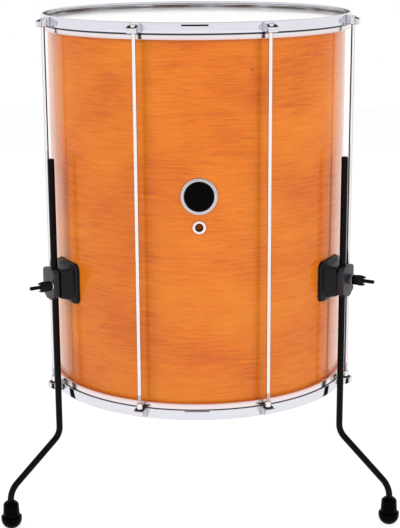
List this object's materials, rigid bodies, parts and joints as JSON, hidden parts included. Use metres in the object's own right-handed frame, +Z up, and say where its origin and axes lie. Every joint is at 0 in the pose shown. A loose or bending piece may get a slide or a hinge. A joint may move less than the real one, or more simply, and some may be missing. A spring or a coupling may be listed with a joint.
{
  "type": "surdo drum",
  "caption": "Deep wooden bass drum with a film head at each end, clamped by hoops and long tension rods, standing on bent, height-adjustable legs.",
  "frame": {"origin": "on the floor, at the middle of the drum's bounding box seen from above; the drum's own axis stands 55.5 mm from it towards -Y", "axes": "+Z up along the drum's axis, -Y towards the front with the badge, +X to the right seen from the front"},
  "size_m": [0.6164, 0.5951, 0.7763],
  "materials": {
    "shell_wood": "amber-orange gloss lacquer over fine horizontal grain",
    "head_film": "smooth white, glossy",
    "flesh_hoop_metal": "bright satin",
    "hoop_chrome": "polished",
    "hardware_chrome": "polished",
    "badge_metal": "polished, stepped rim",
    "badge_black": "gloss black, bare",
    "bracket_black": "satin black powder coat",
    "gasket_rubber": "matt black",
    "leg_black": "satin black",
    "wing_nut_black": "satin black",
    "foot_rubber": "matt black",
    "zinc_steel": "bright zinc"
  },
  "bodies": {
    "drum": {"shell": "shell_wood", "batter_head": "head_film", "bottom_head": "head_film", "flesh_hoop_top": "flesh_hoop_metal", "flesh_hoop_bottom": "flesh_hoop_metal", "counter_hoop_top": "hoop_chrome", "counter_hoop_bottom": "hoop_chrome", "tuning_nut_1": "hardware_chrome", "tuning_nut_2": "hardware_chrome", "tuning_nut_3": "hardware_chrome", "tuning_nut_4": "hardware_chrome", "tuning_nut_5": "hardware_chrome", "tuning_nut_6": "hardware_chrome", "tuning_nut_7": "hardware_chrome", "tuning_nut_8": "hardware_chrome", "badge_rim": "badge_metal", "badge_face": "badge_black", "vent_grommet": "hardware_chrome", "vent_lock_ring": "zinc_steel", "bracket_base_left": "bracket_black", "bracket_gasket_left": "gasket_rubber", "bracket_bolt_plate_left": "zinc_steel", "clamp_stud_left": "zinc_steel", "bracket_base_right": "bracket_black", "bracket_gasket_right": "gasket_rubber", "bracket_bolt_plate_right": "zinc_steel", "clamp_stud_right": "zinc_steel", "bracket_base_back": "bracket_black", "bracket_gasket_back": "gasket_rubber", "bracket_bolt_plate_back": "zinc_steel", "clamp_stud_back": "zinc_steel"},
    "leg_left": {"leg_left": "leg_black", "rubber_foot_left": "foot_rubber"},
    "jaw_left": {"clamp_jaw_left": "bracket_black", "clamp_washer_left": "hardware_chrome"},
    "wing_nut_left": {"wing_nut_left": "wing_nut_black"},
    "leg_right": {"leg_right": "leg_black", "rubber_foot_right": "foot_rubber"},
    "jaw_right": {"clamp_jaw_right": "bracket_black", "clamp_washer_right": "hardware_chrome"},
    "wing_nut_right": {"wing_nut_right": "wing_nut_black"},
    "leg_back": {"leg_back": "leg_black", "rubber_foot_back": "foot_rubber"},
    "jaw_back": {"clamp_jaw_back": "bracket_black", "clamp_washer_back": "hardware_chrome"},
    "wing_nut_back": {"wing_nut_back": "wing_nut_black"},
    "rod_1": {"tension_rod_1": "hardware_chrome"},
    "rod_2": {"tension_rod_2": "hardware_chrome"},
    "rod_3": {"tension_rod_3": "hardware_chrome"},
    "rod_4": {"tension_rod_4": "hardware_chrome"},
    "rod_5": {"tension_rod_5": "hardware_chrome"},
    "rod_6": {"tension_rod_6": "hardware_chrome"},
    "rod_7": {"tension_rod_7": "hardware_chrome"},
    "rod_8": {"tension_rod_8": "hardware_chrome"}
  },
  "joints": [
    {"name": "leg_left_height", "type": "slide", "parent": "drum", "child": "leg_left", "axis": [0, 0, 1], "range_m": [-0.15, 0.19]},
    {"name": "jaw_left_slide", "type": "slide", "parent": "drum", "child": "jaw_left", "axis": [-0.866, -0.5, 0], "range_m": [0, 0.0031]},
    {"name": "wing_nut_left_turn", "type": "hinge", "parent": "jaw_left", "child": "wing_nut_left", "pos_m": [-0.22065, -0.1973, 0.37995], "axis": [-0.866, -0.5, 0], "range_deg": [0, 1080]},
    {"name": "leg_right_height", "type": "slide", "parent": "drum", "child": "leg_right", "axis": [0, 0, 1], "range_m": [-0.15, 0.19]},
    {"name": "jaw_right_slide", "type": "slide", "parent": "drum", "child": "jaw_right", "axis": [0.866, -0.5, 0], "range_m": [0, 0.0031]},
    {"name": "wing_nut_right_turn", "type": "hinge", "parent": "jaw_right", "child": "wing_nut_right", "pos_m": [0.23315, -0.17565, 0.37995], "axis": [0.866, -0.5, 0], "range_deg": [0, 1080]},
    {"name": "leg_back_height", "type": "slide", "parent": "drum", "child": "leg_back", "axis": [0, 0, 1], "range_m": [-0.15, 0.19]},
    {"name": "jaw_back_slide", "type": "slide", "parent": "drum", "child": "jaw_back", "axis": [0, 1, 0], "range_m": [0, 0.0031]},
    {"name": "wing_nut_back_turn", "type": "hinge", "parent": "jaw_back", "child": "wing_nut_back", "pos_m": [-0.0125, 0.20652, 0.37995], "axis": [0, 1, 0], "range_deg": [0, 1080]},
    {"name": "tension_rod_1_turn", "type": "hinge", "parent": "drum", "child": "rod_1", "pos_m": [0.10007, -0.2813, 0.7642], "axis": [0, 0, 1], "continuous": true},
    {"name": "tension_rod_2_turn", "type": "hinge", "parent": "drum", "child": "rod_2", "pos_m": [0.23044, -0.14439, 0.7642], "axis": [0, 0, 1], "continuous": true},
    {"name": "tension_rod_3_turn", "type": "hinge", "parent": "drum", "child": "rod_3", "pos_m": [0.22582, 0.0446, 0.7642], "axis": [0, 0, 1], "continuous": true},
    {"name": "tension_rod_4_turn", "type": "hinge", "parent": "drum", "child": "rod_4", "pos_m": [0.08892, 0.17496, 0.7642], "axis": [0, 0, 1], "continuous": true},
    {"name": "tension_rod_5_turn", "type": "hinge", "parent": "drum", "child": "rod_5", "pos_m": [-0.10007, 0.17034, 0.7642], "axis": [0, 0, 1], "continuous": true},
    {"name": "tension_rod_6_turn", "type": "hinge", "parent": "drum", "child": "rod_6", "pos_m": [-0.23044, 0.03344, 0.7642], "axis": [0, 0, 1], "continuous": true},
    {"name": "tension_rod_7_turn", "type": "hinge", "parent": "drum", "child": "rod_7", "pos_m": [-0.22582, -0.15554, 0.7642], "axis": [0, 0, 1], "continuous": true},
    {"name": "tension_rod_8_turn", "type": "hinge", "parent": "drum", "child": "rod_8", "pos_m": [-0.08892, -0.28591, 0.7642], "axis": [0, 0, 1], "continuous": true}
  ],
  "couplings": [
    {"joint": "jaw_left_slide", "follows": "wing_nut_left_turn", "m_per_rad": 0.00015915},
    {"joint": "jaw_right_slide", "follows": "wing_nut_right_turn", "m_per_rad": 0.00015915},
    {"joint": "jaw_back_slide", "follows": "wing_nut_back_turn", "m_per_rad": 0.00015915}
  ]
}
